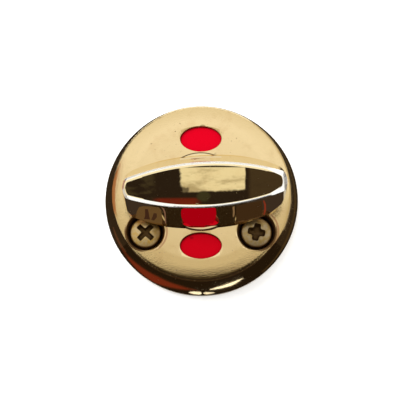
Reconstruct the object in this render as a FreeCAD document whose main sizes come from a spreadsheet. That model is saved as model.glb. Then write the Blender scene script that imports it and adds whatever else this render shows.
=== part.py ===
import FreeCAD, Part
import os
import math
import Sketcher
from FreeCAD import Vector

# Bathroom thumb turn on a deep round rose, in millimetres.
# Origin: centre of the rose's back face, on the axis of the turn. +Z points out of the door,
# +X lies along the grip when the lock is locked, and the two cover screws are on the -Y side.

doc = FreeCAD.newDocument("thumb_turn_lock")
sheet = doc.addObject("Spreadsheet::Sheet", "Sizes")


class Size:
    """A length or angle that knows its number and the expression that gives it."""

    def __init__(self, number, text):
        self.number = number
        self.text = text

    def __add__(self, other):
        return joined(self, "+", other)

    def __radd__(self, other):
        return joined(other, "+", self)

    def __sub__(self, other):
        return joined(self, "-", other)

    def __rsub__(self, other):
        return joined(other, "-", self)

    def __mul__(self, other):
        return joined(self, "*", other)

    def __rmul__(self, other):
        return joined(other, "*", self)

    def __truediv__(self, other):
        return joined(self, "/", other)

    def __neg__(self):
        return Size(-self.number, "(-1 * " + self.text + ")")


def as_size(value):
    return value if isinstance(value, Size) else Size(float(value), repr(value))


def joined(left, sign, right):
    left, right = as_size(left), as_size(right)
    results = {
        "+": left.number + right.number,
        "-": left.number - right.number,
        "*": left.number * right.number,
        "/": left.number / right.number if right.number else 0.0,
    }
    return Size(results[sign], "(" + left.text + " " + sign + " " + right.text + ")")


def tangent(angle):
    return Size(math.tan(math.radians(angle.number)), "tan(" + angle.text + ")")


def sine(angle):
    return Size(math.sin(math.radians(angle.number)), "sin(" + angle.text + ")")


def cosine(angle):
    return Size(math.cos(math.radians(angle.number)), "cos(" + angle.text + ")")


def size(alias, number):
    """One row of the sheet: a plain number with a name."""
    row = size.row
    size.row = row + 1
    sheet.set("A" + str(row), alias)
    sheet.set("B" + str(row), str(number))
    sheet.setAlias("B" + str(row), alias)
    return Size(float(number), "Sizes." + alias)


size.row = 1

# How far a cut starts outside the metal that it takes away
overcut = size("overcut", 1.0)

# Rose
rose_radius = size("rose_radius", 26.0)
rose_depth = size("rose_depth", 13.0)
rose_wall = size("rose_wall", 1.2)
foot_inset = size("foot_inset", 0.15)
foot_height = size("foot_height", 2.6)
wall_lean = size("wall_lean", 17.0)
shoulder_inset = size("shoulder_inset", 2.27)
shoulder_radius = size("shoulder_radius", 1.5)
crown_inset = size("crown_inset", 8.1)
crown_turn = size("crown_turn", 12.0)
hub_wall = size("hub_wall", 1.7)
hub_depth = size("hub_depth", 5.2)

# Oval openings and their red plugs
oval_distance = size("oval_distance", 14.37)
oval_width = size("oval_width", 10.95)
oval_height = size("oval_height", 6.85)
plug_clearance = size("plug_clearance", 0.03)
plug_recess = size("plug_recess", 0.9)
plug_flange_margin = size("plug_flange_margin", 0.8)
plug_flange_thickness = size("plug_flange_thickness", 1.2)

# Cover screws, their wells and the posts that they enter
screw_circle_inset = size("screw_circle_inset", 7.99)
screw_angle = size("screw_angle", 35.85)
well_mouth_radius = size("well_mouth_radius", 5.05)
well_floor_radius = size("well_floor_radius", 4.25)
well_lip_radius = size("well_lip_radius", 0.5)
well_wall = size("well_wall", 0.5)
well_floor_thickness = size("well_floor_thickness", 1.1)
screw_head_radius = size("screw_head_radius", 4.0)
screw_head_height = size("screw_head_height", 2.4)
screw_head_dome = size("screw_head_dome", 0.6)
screw_head_recess = size("screw_head_recess", 1.2)
screw_shank_radius = size("screw_shank_radius", 1.95)
screw_length = size("screw_length", 7.0)
screw_tip_chamfer = size("screw_tip_chamfer", 0.4)
screw_hole_clearance = size("screw_hole_clearance", 0.35)
thread_clearance = size("thread_clearance", 0.05)
cross_width = size("cross_width", 5.0)
cross_slot = size("cross_slot", 1.25)
cross_depth = size("cross_depth", 1.7)
cross_taper = size("cross_taper", 12.0)
cross_turn_left = size("cross_turn_left", 47.0)
cross_turn_right = size("cross_turn_right", 80.0)
pillar_radius = size("pillar_radius", 3.5)
pillar_rivet_radius = size("pillar_rivet_radius", 2.8)

# Mounting plate
plate_thickness = size("plate_thickness", 1.6)
plate_clearance = size("plate_clearance", 0.1)
plate_centre_clearance = size("plate_centre_clearance", 0.4)
door_hole_inset = size("door_hole_inset", 7.0)
door_hole_radius = size("door_hole_radius", 2.15)

# Grip of the turn
grip_height = size("grip_height", 8.6)
grip_length = size("grip_length", 42.7)
grip_offset = size("grip_offset", 1.2)
grip_thickness = size("grip_thickness", 11.75)
grip_end_thickness = size("grip_end_thickness", 4.8)
grip_end_bulge = size("grip_end_bulge", 0.75)
grip_lean = size("grip_lean", 25.5)
grip_bevel_depth = size("grip_bevel_depth", 0.45)
grip_bevel_width = size("grip_bevel_width", 0.85)
grip_corner_radius = size("grip_corner_radius", 1.4)
grip_tip_clearance = size("grip_tip_clearance", 0.6)
wing_lift = size("wing_lift", 1.3)
wing_reach = size("wing_reach", 17.6)
wing_corner_height = size("wing_corner_height", 3.4)
wing_end_right = size("wing_end_right", 20.9)
wing_end_left = size("wing_end_left", 19.9)
collar_radius = size("collar_radius", 10.5)
collar_thickness = size("collar_thickness", 0.55)

# Spigot, its bearing and the stack that holds it
spigot_radius = size("spigot_radius", 6.0)
spigot_end = size("spigot_end", 0.6)
spigot_flat_depth = size("spigot_flat_depth", 0.8)
running_clearance = size("running_clearance", 0.05)
key_clearance = size("key_clearance", 0.04)
bush_wall = size("bush_wall", 1.4)
bush_flange = size("bush_flange", 1.7)
bush_flange_thickness = size("bush_flange_thickness", 1.2)
bush_setback = size("bush_setback", 0.1)
collar_washer_thickness = size("collar_washer_thickness", 0.3)
washer_clearance = size("washer_clearance", 0.15)
washer_radius = size("washer_radius", 9.4)
thrust_washer_thickness = size("thrust_washer_thickness", 0.5)
wave_thickness = size("wave_thickness", 0.3)
wave_height = size("wave_height", 0.8)
wave_count = size("wave_count", 3)
ring_thickness = size("ring_thickness", 1.0)
ring_groove_radius = size("ring_groove_radius", 5.0)
ring_width = size("ring_width", 2.0)
ring_gap = size("ring_gap", 50.0)
ring_play = size("ring_play", 0.02)
ring_ear_radius = size("ring_ear_radius", 1.5)
ring_ear_hole_radius = size("ring_ear_hole_radius", 0.5)
ring_ear_angle = size("ring_ear_angle", 39.0)
socket_width = size("socket_width", 5.1)
socket_depth = size("socket_depth", 9.0)

# Quarter-turn stop
stop_cam_thickness = size("stop_cam_thickness", 1.2)
stop_cam_radius = size("stop_cam_radius", 8.8)
stop_lug_radius = size("stop_lug_radius", 12.4)
stop_lug_width = size("stop_lug_width", 4.6)
stop_lug_angle = size("stop_lug_angle", 45.0)
stop_travel = size("stop_travel", 90.0)
stop_pin_radius = size("stop_pin_radius", 1.5)
stop_pin_circle = size("stop_pin_circle", 11.3)
stop_pin_rivet_radius = size("stop_pin_rivet_radius", 1.0)
stop_play = size("stop_play", 0.6)
rest_angle = size("rest_angle", 2.6)

doc.recompute()

# Levels and radii that several pieces share
front = rose_depth
ceiling = front - rose_wall
collar_seat = front + collar_washer_thickness
grip_face = front + grip_height
screw_circle = rose_radius - screw_circle_inset
screw_x = screw_circle * cosine(screw_angle)
screw_y = screw_circle * sine(screw_angle)
well_floor = front - screw_head_recess - screw_head_height
well_underside = well_floor - well_floor_thickness
bush_bore = spigot_radius + running_clearance
bush_radius = bush_bore + bush_wall
hub_low = front - hub_depth
bush_low = hub_low - bush_flange_thickness
thrust_low = bush_low - thrust_washer_thickness
wave_low = thrust_low - wave_height
cam_low = wave_low - stop_cam_thickness
ring_low = cam_low - ring_thickness
washer_bore = spigot_radius + washer_clearance
plate_bore = spigot_radius + plate_centre_clearance
spigot_flat = spigot_radius - spigot_flat_depth


def new_body(name):
    body = doc.addObject("PartDesign::Body", name)
    body.Label = name
    return body


def origin_plane(body, role):
    return [item for item in body.Origin.OriginFeatures if item.Role == role][0]


def new_sketch(body, name, role, out=None, along=None, up=None):
    """A sketch on one of the body's own planes, moved along the plane's normal and axes."""
    sketch = body.newObject("Sketcher::SketchObject", name)
    sketch.AttachmentSupport = [(origin_plane(body, role), "")]
    sketch.MapMode = "FlatFace"
    offsets = {"x": along, "y": up, "z": out}
    start = [0.0 if offsets[key] is None else offsets[key].number for key in ("x", "y", "z")]
    sketch.AttachmentOffset = FreeCAD.Placement(Vector(*start), FreeCAD.Rotation())
    for key, value in offsets.items():
        if value is not None:
            sketch.setExpression("AttachmentOffset.Base." + key, value.text)
    return sketch


def bind(sketch, kind, references, value):
    index = sketch.addConstraint(Sketcher.Constraint(kind, *references, value.number))
    sketch.setExpression("Constraints[" + str(index) + "]", value.text)


def place_point(sketch, geometry, end, x, y):
    """Fix one point of a sketch at two bound distances from the sketch's origin."""
    for kind, axis, value in (("DistanceX", -2, as_size(x)), ("DistanceY", -1, as_size(y))):
        if value.number == 0.0:
            sketch.addConstraint(Sketcher.Constraint("PointOnObject", geometry, end, axis))
        elif value.number > 0.0:
            bind(sketch, kind, (-1, 1, geometry, end), value)
        else:
            bind(sketch, kind, (geometry, end, -1, 1), -value)


def outline(sketch, points, arcs=None):
    """A closed outline. arcs maps an edge to its radius, negative where it bows inwards."""
    arcs = arcs or {}
    corners = [(as_size(x), as_size(y)) for x, y in points]
    flat = [Vector(x.number, y.number, 0) for x, y in corners]
    first = None
    for index, start in enumerate(flat):
        end = flat[(index + 1) % len(flat)]
        if index in arcs:
            radius = arcs[index]
            chord = end - start
            half = chord.Length / 2
            sagitta = abs(radius.number) - math.sqrt(max(radius.number ** 2 - half ** 2, 0.0))
            outward = Vector(chord.y, -chord.x, 0).normalize()
            side = 1.0 if radius.number > 0 else -1.0
            middle = (start + end) * 0.5 + outward * sagitta * side
            if side > 0:
                geometry = sketch.addGeometry(Part.Arc(start, middle, end))
                tips = (1, 2)
            else:
                geometry = sketch.addGeometry(Part.Arc(end, middle, start))
                tips = (2, 1)
            bind(sketch, "Radius", (geometry,), radius if side > 0 else -radius)
        else:
            geometry = sketch.addGeometry(Part.LineSegment(start, end))
            tips = (1, 2)
        place_point(sketch, geometry, tips[0], *corners[index])
        if first is None:
            first = (geometry, tips[0])
        else:
            sketch.addConstraint(Sketcher.Constraint("Coincident", last[0], last[1], geometry, tips[0]))
        last = (geometry, tips[1])
    sketch.addConstraint(Sketcher.Constraint("Coincident", last[0], last[1], first[0], first[1]))


def circle(sketch, radius, x=0, y=0):
    x, y = as_size(x), as_size(y)
    middle = Vector(x.number, y.number, 0)
    geometry = sketch.addGeometry(Part.Circle(middle, Vector(0, 0, 1), radius.number))
    place_point(sketch, geometry, 3, x, y)
    bind(sketch, "Radius", (geometry,), radius)


def ellipse(sketch, width, height, y):
    """A lying ellipse with its centre on the sketch's vertical axis."""
    middle = Vector(0, y.number, 0)
    side = middle + Vector(width.number / 2, 0, 0)
    top = middle + Vector(0, height.number / 2, 0)
    geometry = sketch.addGeometry(Part.Ellipse(side, top, middle))
    sketch.exposeInternalGeometry(geometry)
    long_axis, short_axis = geometry + 1, geometry + 2
    place_point(sketch, geometry, 3, 0, y)
    sketch.addConstraint(Sketcher.Constraint("Horizontal", long_axis))
    bind(sketch, "Distance", (long_axis, 1, long_axis, 2), width)
    bind(sketch, "Distance", (short_axis, 1, short_axis, 2), height)


def finish(body, feature):
    body.Tip = feature
    return feature


def revolve(body, name, sketch, cut=False):
    kind = "PartDesign::Groove" if cut else "PartDesign::Revolution"
    feature = body.newObject(kind, name)
    feature.Profile = sketch
    feature.ReferenceAxis = (sketch, ["V_Axis"])
    feature.Angle = 360
    return finish(body, feature)


def pad(body, name, sketch, length, down=False):
    feature = body.newObject("PartDesign::Pad", name)
    feature.Profile = sketch
    feature.Length = length.number
    feature.setExpression("Length", length.text)
    feature.Reversed = down
    return finish(body, feature)


def pocket(body, name, sketch, depth=None, up=False):
    """A cut down from its sketch, or up where up is set; with no depth it goes through both ways."""
    feature = body.newObject("PartDesign::Pocket", name)
    feature.Profile = sketch
    if depth is None:
        feature.Type = "ThroughAll"
        feature.Midplane = True
    else:
        feature.Length = depth.number
        feature.setExpression("Length", depth.text)
        feature.Reversed = up
    return finish(body, feature)


def ring_body(name, inner, outer, low, thickness):
    """A flat washer."""
    body = new_body(name)
    sketch = new_sketch(body, name + "_face", "XY_Plane", out=low)
    circle(sketch, outer)
    circle(sketch, inner)
    pad(body, name + "_blank", sketch, thickness)
    return body


def turn_with_grip(body):
    """Stand a piece that turns with the grip at the grip's resting angle."""
    body.Placement = FreeCAD.Placement(Vector(), FreeCAD.Rotation(Vector(0, 0, 1), rest_angle.number))
    body.setExpression("Placement.Rotation.Angle", rest_angle.text)


def make_rose():
    """Deep spun cup: a leaning wall, a small shoulder, a crowned rim, a flat front and a hub."""
    body = new_body("rose")
    flat_x = rose_radius - crown_inset
    shoulder_end_x = rose_radius - shoulder_inset
    shoulder_middle_x = shoulder_end_x - shoulder_radius * cosine(wall_lean)
    crown_end_x = shoulder_middle_x + shoulder_radius * sine(crown_turn)
    crown_radius = (crown_end_x - flat_x) / sine(crown_turn)
    crown_end_z = front - crown_radius + crown_radius * cosine(crown_turn)
    shoulder_middle_z = crown_end_z - shoulder_radius * cosine(crown_turn)
    shoulder_end_z = shoulder_middle_z + shoulder_radius * sine(wall_lean)

    # the wall bows slightly, and meets the shoulder without a corner
    run = shoulder_inset
    rise = shoulder_end_z - foot_height
    bow_radius = (run * run + rise * rise) / (2 * (rise * sine(wall_lean) - run * cosine(wall_lean)))
    wall = rose_wall
    shell = new_sketch(body, "rose_section", "XZ_Plane")
    outline(shell, [
        (bush_radius, front),
        (bush_radius, hub_low),
        (bush_radius + hub_wall, hub_low),
        (bush_radius + hub_wall, ceiling),
        (flat_x + wall, ceiling),
        (crown_end_x - wall * sine(crown_turn), crown_end_z - wall * cosine(crown_turn)),
        (shoulder_end_x - wall * cosine(wall_lean), shoulder_end_z - wall * sine(wall_lean)),
        (rose_radius - wall, foot_height),
        (rose_radius - wall, 0),
        (rose_radius - foot_inset, 0),
        (rose_radius, foot_height),
        (shoulder_end_x, shoulder_end_z),
        (crown_end_x, crown_end_z),
        (flat_x, front),
    ], {
        5: -(shoulder_radius - wall),
        6: -(bow_radius - wall),
        10: bow_radius,
        11: shoulder_radius,
        12: crown_radius,
    })
    revolve(body, "rose_shell", shell)
    for side, sign in (("left", -1), ("right", 1)):
        seat = new_sketch(body, "well_seat_" + side, "XY_Plane", out=well_underside)
        circle(seat, well_mouth_radius + well_wall, sign * screw_x, -screw_y)
        pad(body, "well_cup_" + side, seat, ceiling - well_underside)
    for side, sign in (("left", -1), ("right", 1)):
        well = new_sketch(body, "well_section_" + side, "XZ_Plane", out=screw_y, along=sign * screw_x)
        hole = screw_shank_radius + screw_hole_clearance
        outline(well, [
            (0, well_underside - overcut),
            (hole, well_underside - overcut),
            (hole, well_floor),
            (well_floor_radius, well_floor),
            (well_mouth_radius, front - well_lip_radius),
            (well_mouth_radius + well_lip_radius, front),
            (well_mouth_radius + well_lip_radius, front + overcut),
            (0, front + overcut),
        ], {4: -well_lip_radius})
        revolve(body, "well_" + side, well, cut=True)
    for side, sign in (("upper", 1), ("lower", -1)):
        opening = new_sketch(body, "oval_" + side, "XY_Plane", out=front + overcut)
        ellipse(opening, oval_width, oval_height, sign * oval_distance)
        pocket(body, "opening_" + side, opening, rose_wall + overcut + overcut)
    return body


def make_red_field(side, sign):
    """Moulded red plug: an oval that fills the opening and a flange that seats behind it."""
    body = new_body("red_field_" + side)
    back = new_sketch(body, "flange_" + side, "XY_Plane", out=ceiling - plug_flange_thickness)
    margin = 2 * plug_flange_margin
    ellipse(back, oval_width + margin, oval_height + margin, sign * oval_distance)
    pad(body, "plug_flange_" + side, back, plug_flange_thickness)
    face = new_sketch(body, "plug_face_" + side, "XY_Plane", out=ceiling)
    ellipse(face, oval_width - 2 * plug_clearance, oval_height - 2 * plug_clearance, sign * oval_distance)
    pad(body, "plug_" + side, face, rose_wall - plug_recess)
    return body


def grip_plan(body, name, level, outset, inset=0):
    """The lens-shaped plan of the grip at one level: long side arcs, blunt end arcs, round corners.

    outset moves the sides apart, and inset then shrinks the whole outline evenly.
    """
    plan = new_sketch(body, name, "XY_Plane", out=level, along=grip_offset)
    half_end = grip_end_thickness / 2 + outset
    rise = grip_thickness / 2 - grip_end_thickness / 2
    run = grip_length / 2 - grip_end_bulge
    full_side = (run * run + rise * rise) / (2 * rise)
    full_end = (half_end * half_end + grip_end_bulge * grip_end_bulge) / (2 * grip_end_bulge)
    side_centre = full_side - grip_thickness / 2 - outset
    end_centre = grip_length / 2 - full_end
    side_radius = full_side - inset
    end_radius = full_end - inset
    corner = grip_corner_radius - inset

    # where a corner circle touches the side circle and the end circle from inside
    side_middle = Vector(0, -side_centre.number, 0)
    end_middle = Vector(end_centre.number, 0, 0)
    side_gap = (side_radius - corner).number
    end_gap = (end_radius - corner).number
    between = end_middle - side_middle
    along = (side_gap ** 2 - end_gap ** 2 + between.Length ** 2) / (2 * between.Length)
    across = math.sqrt(side_gap ** 2 - along ** 2)
    unit = Vector(between).normalize()
    middle = side_middle + unit * along + Vector(unit.y, -unit.x, 0) * across
    on_side = side_middle + (middle - side_middle) * (side_radius.number / side_gap)
    on_end = end_middle + (middle - end_middle) * (end_radius.number / end_gap)

    def turned(point, flip_x, flip_y):
        return Vector(flip_x * point.x, flip_y * point.y, 0)

    def arc(centre, radius, start, end):
        rim = Part.Circle(centre, Vector(0, 0, 1), radius.number)
        return plan.addGeometry(Part.ArcOfCircle(rim, rim.parameter(start), rim.parameter(end)))

    chain = [
        arc(turned(side_middle, 1, -1), side_radius, turned(on_side, -1, -1), turned(on_side, 1, -1)),
        arc(turned(middle, 1, -1), corner, turned(on_side, 1, -1), turned(on_end, 1, -1)),
        arc(end_middle, end_radius, turned(on_end, 1, -1), on_end),
        arc(middle, corner, on_end, on_side),
        arc(side_middle, side_radius, on_side, turned(on_side, -1, 1)),
        arc(turned(middle, -1, 1), corner, turned(on_side, -1, 1), turned(on_end, -1, 1)),
        arc(turned(end_middle, -1, 1), end_radius, turned(on_end, -1, 1), turned(on_end, -1, -1)),
        arc(turned(middle, -1, -1), corner, turned(on_end, -1, -1), turned(on_side, -1, -1)),
    ]
    for index, edge in enumerate(chain):
        following = chain[(index + 1) % len(chain)]
        plan.addConstraint(Sketcher.Constraint("Tangent", edge, 2, following, 1))
    for edge, radius in zip(chain, 2 * (side_radius, corner, end_radius, corner)):
        bind(plan, "Radius", (edge,), radius)
    place_point(plan, chain[0], 3, 0, side_centre)
    place_point(plan, chain[4], 3, 0, -side_centre)
    place_point(plan, chain[2], 3, end_centre, 0)
    place_point(plan, chain[6], 3, -end_centre, 0)
    return plan


def make_thumb_turn():
    """Hot-stamped grip on a round collar, with a turned spigot that takes the lock's square bar."""
    body = new_body("thumb_turn")
    lean = tangent(grip_lean)
    foot = grip_plan(body, "grip_foot", collar_seat, (grip_height - collar_washer_thickness) * lean)
    brow = grip_plan(body, "grip_brow", grip_face - grip_bevel_depth, grip_bevel_depth * lean)
    face = grip_plan(body, "grip_top", grip_face, 0, grip_bevel_width)
    grip = body.newObject("PartDesign::AdditiveLoft", "grip")
    grip.Profile = foot
    grip.Sections = [brow, face]
    grip.Ruled = True
    finish(body, grip)

    # the wings clear the rose and round up to the ends
    beyond = grip_length
    for side, sign, end in (("right", 1, wing_end_right), ("left", -1, wing_end_left)):
        tip = sign * (grip_length / 2 + grip_tip_clearance) + grip_offset
        corner_rise = wing_corner_height - wing_lift
        corner_run = end - wing_reach
        corner_arc = (corner_rise * corner_rise + corner_run * corner_run) / (2 * corner_rise)
        under = new_sketch(body, "wing_under_" + side, "XZ_Plane")
        points = [
            (sign * collar_radius, front - overcut),
            (sign * beyond, front - overcut),
            (sign * beyond, grip_face + overcut),
            (tip, grip_face + overcut),
            (sign * end, front + wing_corner_height),
            (sign * wing_reach, front + wing_lift),
            (sign * collar_radius, collar_seat),
        ]
        if sign > 0:
            outline(under, points, {4: -corner_arc})
        else:
            points.reverse()
            outline(under, points, {1: -corner_arc})
        pocket(body, "wing_cut_" + side, under)

    collar = new_sketch(body, "collar_face", "XY_Plane", out=collar_seat)
    circle(collar, collar_radius)
    pad(body, "collar", collar, collar_thickness)
    spigot = new_sketch(body, "spigot_face", "XY_Plane", out=collar_seat)
    circle(spigot, spigot_radius)
    pad(body, "spigot", spigot, collar_seat - spigot_end, down=True)
    flats = new_sketch(body, "flat_face", "XY_Plane", out=spigot_end)
    reach = 2 * spigot_radius
    for sign in (1, -1):
        near = sign * spigot_flat
        corners_of_cut = [(-reach, near), (reach, near), (reach, sign * reach), (-reach, sign * reach)]
        if sign < 0:
            corners_of_cut.reverse()
        outline(flats, corners_of_cut)
    pocket(body, "key_flats", flats, wave_low - spigot_end, up=True)
    groove = new_sketch(body, "groove_section", "XZ_Plane")
    outline(groove, [
        (ring_groove_radius, ring_low - ring_play),
        (reach, ring_low - ring_play),
        (reach, cam_low),
        (ring_groove_radius, cam_low),
    ])
    revolve(body, "ring_groove", groove, cut=True)
    socket = new_sketch(body, "socket_face", "XY_Plane", out=spigot_end)
    half = socket_width / 2
    outline(socket, [(-half, -half), (half, -half), (half, half), (-half, half)])
    pocket(body, "spindle_socket", socket, socket_depth, up=True)
    turn_with_grip(body)
    return body


def make_bush():
    """Turned flanged bush, pressed into the hub from behind."""
    body = new_body("bearing_bush")
    section = new_sketch(body, "bush_section", "XZ_Plane")
    outline(section, [
        (bush_bore, bush_low),
        (bush_radius + bush_flange, bush_low),
        (bush_radius + bush_flange, hub_low),
        (bush_radius, hub_low),
        (bush_radius, front - bush_setback),
        (bush_bore, front - bush_setback),
    ])
    revolve(body, "bush", section)
    return body


def make_wave_washer():
    """Sprung washer: a flat ring bent into waves, thrust washer above and stop cam below."""
    rim = []
    swing = (wave_height.number - wave_thickness.number) / 2
    middle = wave_low.number + swing
    waves = int(wave_count.number)
    samples_per_wave = 8
    steps = samples_per_wave * waves
    for radius in (washer_bore.number, washer_radius.number):
        points = []
        for step in range(steps):
            angle = 2 * math.pi * step / steps
            height = middle + swing * math.sin(waves * angle)
            points.append(Vector(radius * math.cos(angle), radius * math.sin(angle), height))
        curve = Part.BSplineCurve()
        curve.interpolate(points, PeriodicFlag=True)
        rim.append(curve.toShape())
    sheet_face = Part.makeRuledSurface(rim[0], rim[1])
    washer = doc.addObject("Part::Feature", "wave_washer")
    washer.Shape = sheet_face.extrude(Vector(0, 0, wave_thickness.number))
    washer.Label = "wave_washer"
    return washer


def make_stop_cam():
    """Pressed disc keyed to the spigot's flats, with one lug for the stop pins."""
    body = new_body("stop_cam")
    disc = new_sketch(body, "cam_face", "XY_Plane", out=cam_low)
    circle(disc, stop_cam_radius)
    pad(body, "cam_blank", disc, stop_cam_thickness)
    lug = new_sketch(body, "lug_face", "XY_Plane", out=cam_low)
    half = stop_lug_width / 2
    start = stop_cam_radius - stop_cam_thickness
    outline(lug, [
        (start, -half), (stop_lug_radius, -half), (stop_lug_radius, half), (start, half),
    ])
    lug.AttachmentOffset = FreeCAD.Placement(
        Vector(0, 0, cam_low.number), FreeCAD.Rotation(Vector(0, 0, 1), stop_lug_angle.number))
    lug.setExpression("AttachmentOffset.Rotation.Angle", stop_lug_angle.text)
    pad(body, "lug", lug, stop_cam_thickness)
    keyhole = new_sketch(body, "keyhole", "XY_Plane", out=cam_low)
    bore = spigot_radius + key_clearance
    key = spigot_flat + key_clearance
    half_key = math.sqrt(bore.number ** 2 - key.number ** 2)
    span = Size(half_key, "sqrt(" + (bore * bore - key * key).text + ")")
    outline(keyhole, [(-span, -key), (span, -key), (span, key), (-span, key)], {1: bore, 3: bore})
    pocket(body, "key_opening", keyhole, stop_cam_thickness, up=True)
    turn_with_grip(body)
    return body


def make_retaining_ring():
    """Open spring ring in the spigot's groove, with two ears for the pliers."""
    body = new_body("retaining_ring")
    inner = ring_groove_radius + ring_play
    outer = inner + ring_width
    hoop = new_sketch(body, "ring_face", "XY_Plane", out=ring_low)
    circle(hoop, outer)
    circle(hoop, inner)
    pad(body, "ring_blank", hoop, ring_thickness - ring_play)
    gap = new_sketch(body, "gap_face", "XY_Plane", out=ring_low)
    half_gap = ring_gap / 2
    reach = 2 * outer
    outline(gap, [
        (0, 0),
        (reach * sine(half_gap), -reach * cosine(half_gap)),
        (reach * sine(half_gap), -reach - reach),
        (-reach * sine(half_gap), -reach - reach),
        (-reach * sine(half_gap), -reach * cosine(half_gap)),
    ])
    pocket(body, "ring_opening", gap)
    ear_circle = inner + ring_ear_radius
    ear_x = ear_circle * sine(ring_ear_angle)
    ear_y = -ear_circle * cosine(ring_ear_angle)
    for side, sign in (("left", -1), ("right", 1)):
        ear = new_sketch(body, "ear_" + side, "XY_Plane", out=ring_low)
        circle(ear, ring_ear_radius, sign * ear_x, ear_y)
        pad(body, "ear_blank_" + side, ear, ring_thickness - ring_play)
        hole = new_sketch(body, "ear_hole_" + side, "XY_Plane", out=ring_low)
        circle(hole, ring_ear_hole_radius, sign * ear_x, ear_y)
        pocket(body, "ear_opening_" + side, hole, ring_thickness, up=True)
    turn_with_grip(body)
    return body


def stop_pin_place(kind):
    """Where a stop pin stands: the lug's flank meets it at one end of the quarter turn."""
    flank = stop_lug_width / 2 + stop_pin_radius
    lean = Size(
        math.degrees(math.asin(flank.number / stop_pin_circle.number)),
        "(asin(" + (flank / stop_pin_circle).text + ") / 1 deg)")
    if kind == "locked":
        angle = stop_lug_angle - lean - stop_play
    else:
        angle = stop_lug_angle + stop_travel + lean + stop_play
    return stop_pin_circle * cosine(angle), stop_pin_circle * sine(angle)


def make_mounting_plate():
    """Steel plate in the open back of the rose, with holes for the door's fixings."""
    body = new_body("mounting_plate")
    face = new_sketch(body, "plate_face", "XY_Plane")
    circle(face, rose_radius - rose_wall - plate_clearance)
    circle(face, plate_bore)
    for sign in (-1, 1):
        circle(face, door_hole_radius, sign * (rose_radius - door_hole_inset), 0)
        circle(face, pillar_rivet_radius, sign * screw_x, -screw_y)
    for kind in ("locked", "unlocked"):
        circle(face, stop_pin_rivet_radius, *stop_pin_place(kind))
    pad(body, "plate", face, plate_thickness)
    return body


def make_pillar(side, sign):
    """Threaded post, riveted into the plate and standing up to the underside of the well."""
    body = new_body("pillar_" + side)
    section = new_sketch(body, "pillar_section_" + side, "XZ_Plane", out=screw_y, along=sign * screw_x)
    bore = screw_shank_radius + thread_clearance
    outline(section, [
        (bore, 0),
        (pillar_rivet_radius, 0),
        (pillar_rivet_radius, plate_thickness),
        (pillar_radius, plate_thickness),
        (pillar_radius, well_underside),
        (bore, well_underside),
    ])
    revolve(body, "pillar_turned_" + side, section)
    return body


def make_stop_pin(kind):
    """Shouldered pin, riveted into the plate."""
    body = new_body("stop_pin_" + kind)
    x, y = stop_pin_place(kind)
    section = new_sketch(body, "pin_section_" + kind, "XZ_Plane", out=-y, along=x)
    outline(section, [
        (0, 0),
        (stop_pin_rivet_radius, 0),
        (stop_pin_rivet_radius, plate_thickness),
        (stop_pin_radius, plate_thickness),
        (stop_pin_radius, wave_low),
        (0, wave_low),
    ])
    revolve(body, "pin_turned_" + kind, section)
    return body


def make_cover_screw(side, sign, cross_turn):
    """Raised-head machine screw with a cross recess, down through the well into its pillar."""
    body = new_body("cover_screw_" + side)
    section = new_sketch(body, "screw_section_" + side, "XZ_Plane", out=screw_y, along=sign * screw_x)
    head_top = well_floor + screw_head_height
    edge = head_top - screw_head_dome
    dome = (screw_head_radius * screw_head_radius / screw_head_dome + screw_head_dome) / 2
    tip = well_floor - screw_length
    outline(section, [
        (0, tip),
        (screw_shank_radius - screw_tip_chamfer, tip),
        (screw_shank_radius, tip + screw_tip_chamfer),
        (screw_shank_radius, well_floor),
        (screw_head_radius, well_floor),
        (screw_head_radius, edge),
        (0, head_top),
    ], {5: dome})
    revolve(body, "screw_blank_" + side, section)
    cross = new_sketch(
        body, "cross_" + side, "XY_Plane", out=head_top, along=sign * screw_x, up=-screw_y)
    arm = cross_width / 2
    slot = cross_slot / 2
    outline(cross, [
        (arm, -slot), (arm, slot), (slot, slot), (slot, arm), (-slot, arm), (-slot, slot),
        (-arm, slot), (-arm, -slot), (-slot, -slot), (-slot, -arm), (slot, -arm), (slot, -slot),
    ])
    cross.AttachmentOffset = FreeCAD.Placement(
        cross.AttachmentOffset.Base, FreeCAD.Rotation(Vector(0, 0, 1), cross_turn.number))
    cross.setExpression("AttachmentOffset.Rotation.Angle", cross_turn.text)
    recess = pocket(body, "cross_recess_" + side, cross, cross_depth)
    recess.TaperAngle = -cross_taper.number
    recess.setExpression("TaperAngle", (-cross_taper).text)
    return body


pieces = [
    make_rose(),
    make_red_field("upper", 1),
    make_red_field("lower", -1),
    make_thumb_turn(),
    make_bush(),
    ring_body("collar_washer", washer_bore, washer_radius, front, collar_washer_thickness),
    ring_body("thrust_washer", washer_bore, washer_radius, thrust_low, thrust_washer_thickness),
    make_wave_washer(),
    make_stop_cam(),
    make_retaining_ring(),
    make_mounting_plate(),
    make_pillar("left", -1),
    make_pillar("right", 1),
    make_stop_pin("locked"),
    make_stop_pin("unlocked"),
    make_cover_screw("left", -1, cross_turn_left),
    make_cover_screw("right", 1, cross_turn_right),
]

doc.recompute()

for item in doc.Objects:
    if "Invalid" in item.State or "Error" in item.State:
        raise RuntimeError(item.Name + " did not build: " + str(item.State))

os.makedirs("parts", exist_ok=True)
for piece in pieces:
    shape = piece.Shape
    if shape.isNull() or not shape.isValid() or not shape.Solids:
        raise RuntimeError(piece.Label + " has no valid solid")
    shape.exportStep("parts/" + piece.Label + ".step")
    box = shape.BoundBox
    print(piece.Label, "solids", len(shape.Solids), "volume %.1f" % shape.Volume,
          "z %.2f to %.2f" % (box.ZMin, box.ZMax))
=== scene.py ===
import bpy
import math
from mathutils import Matrix, Vector


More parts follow.
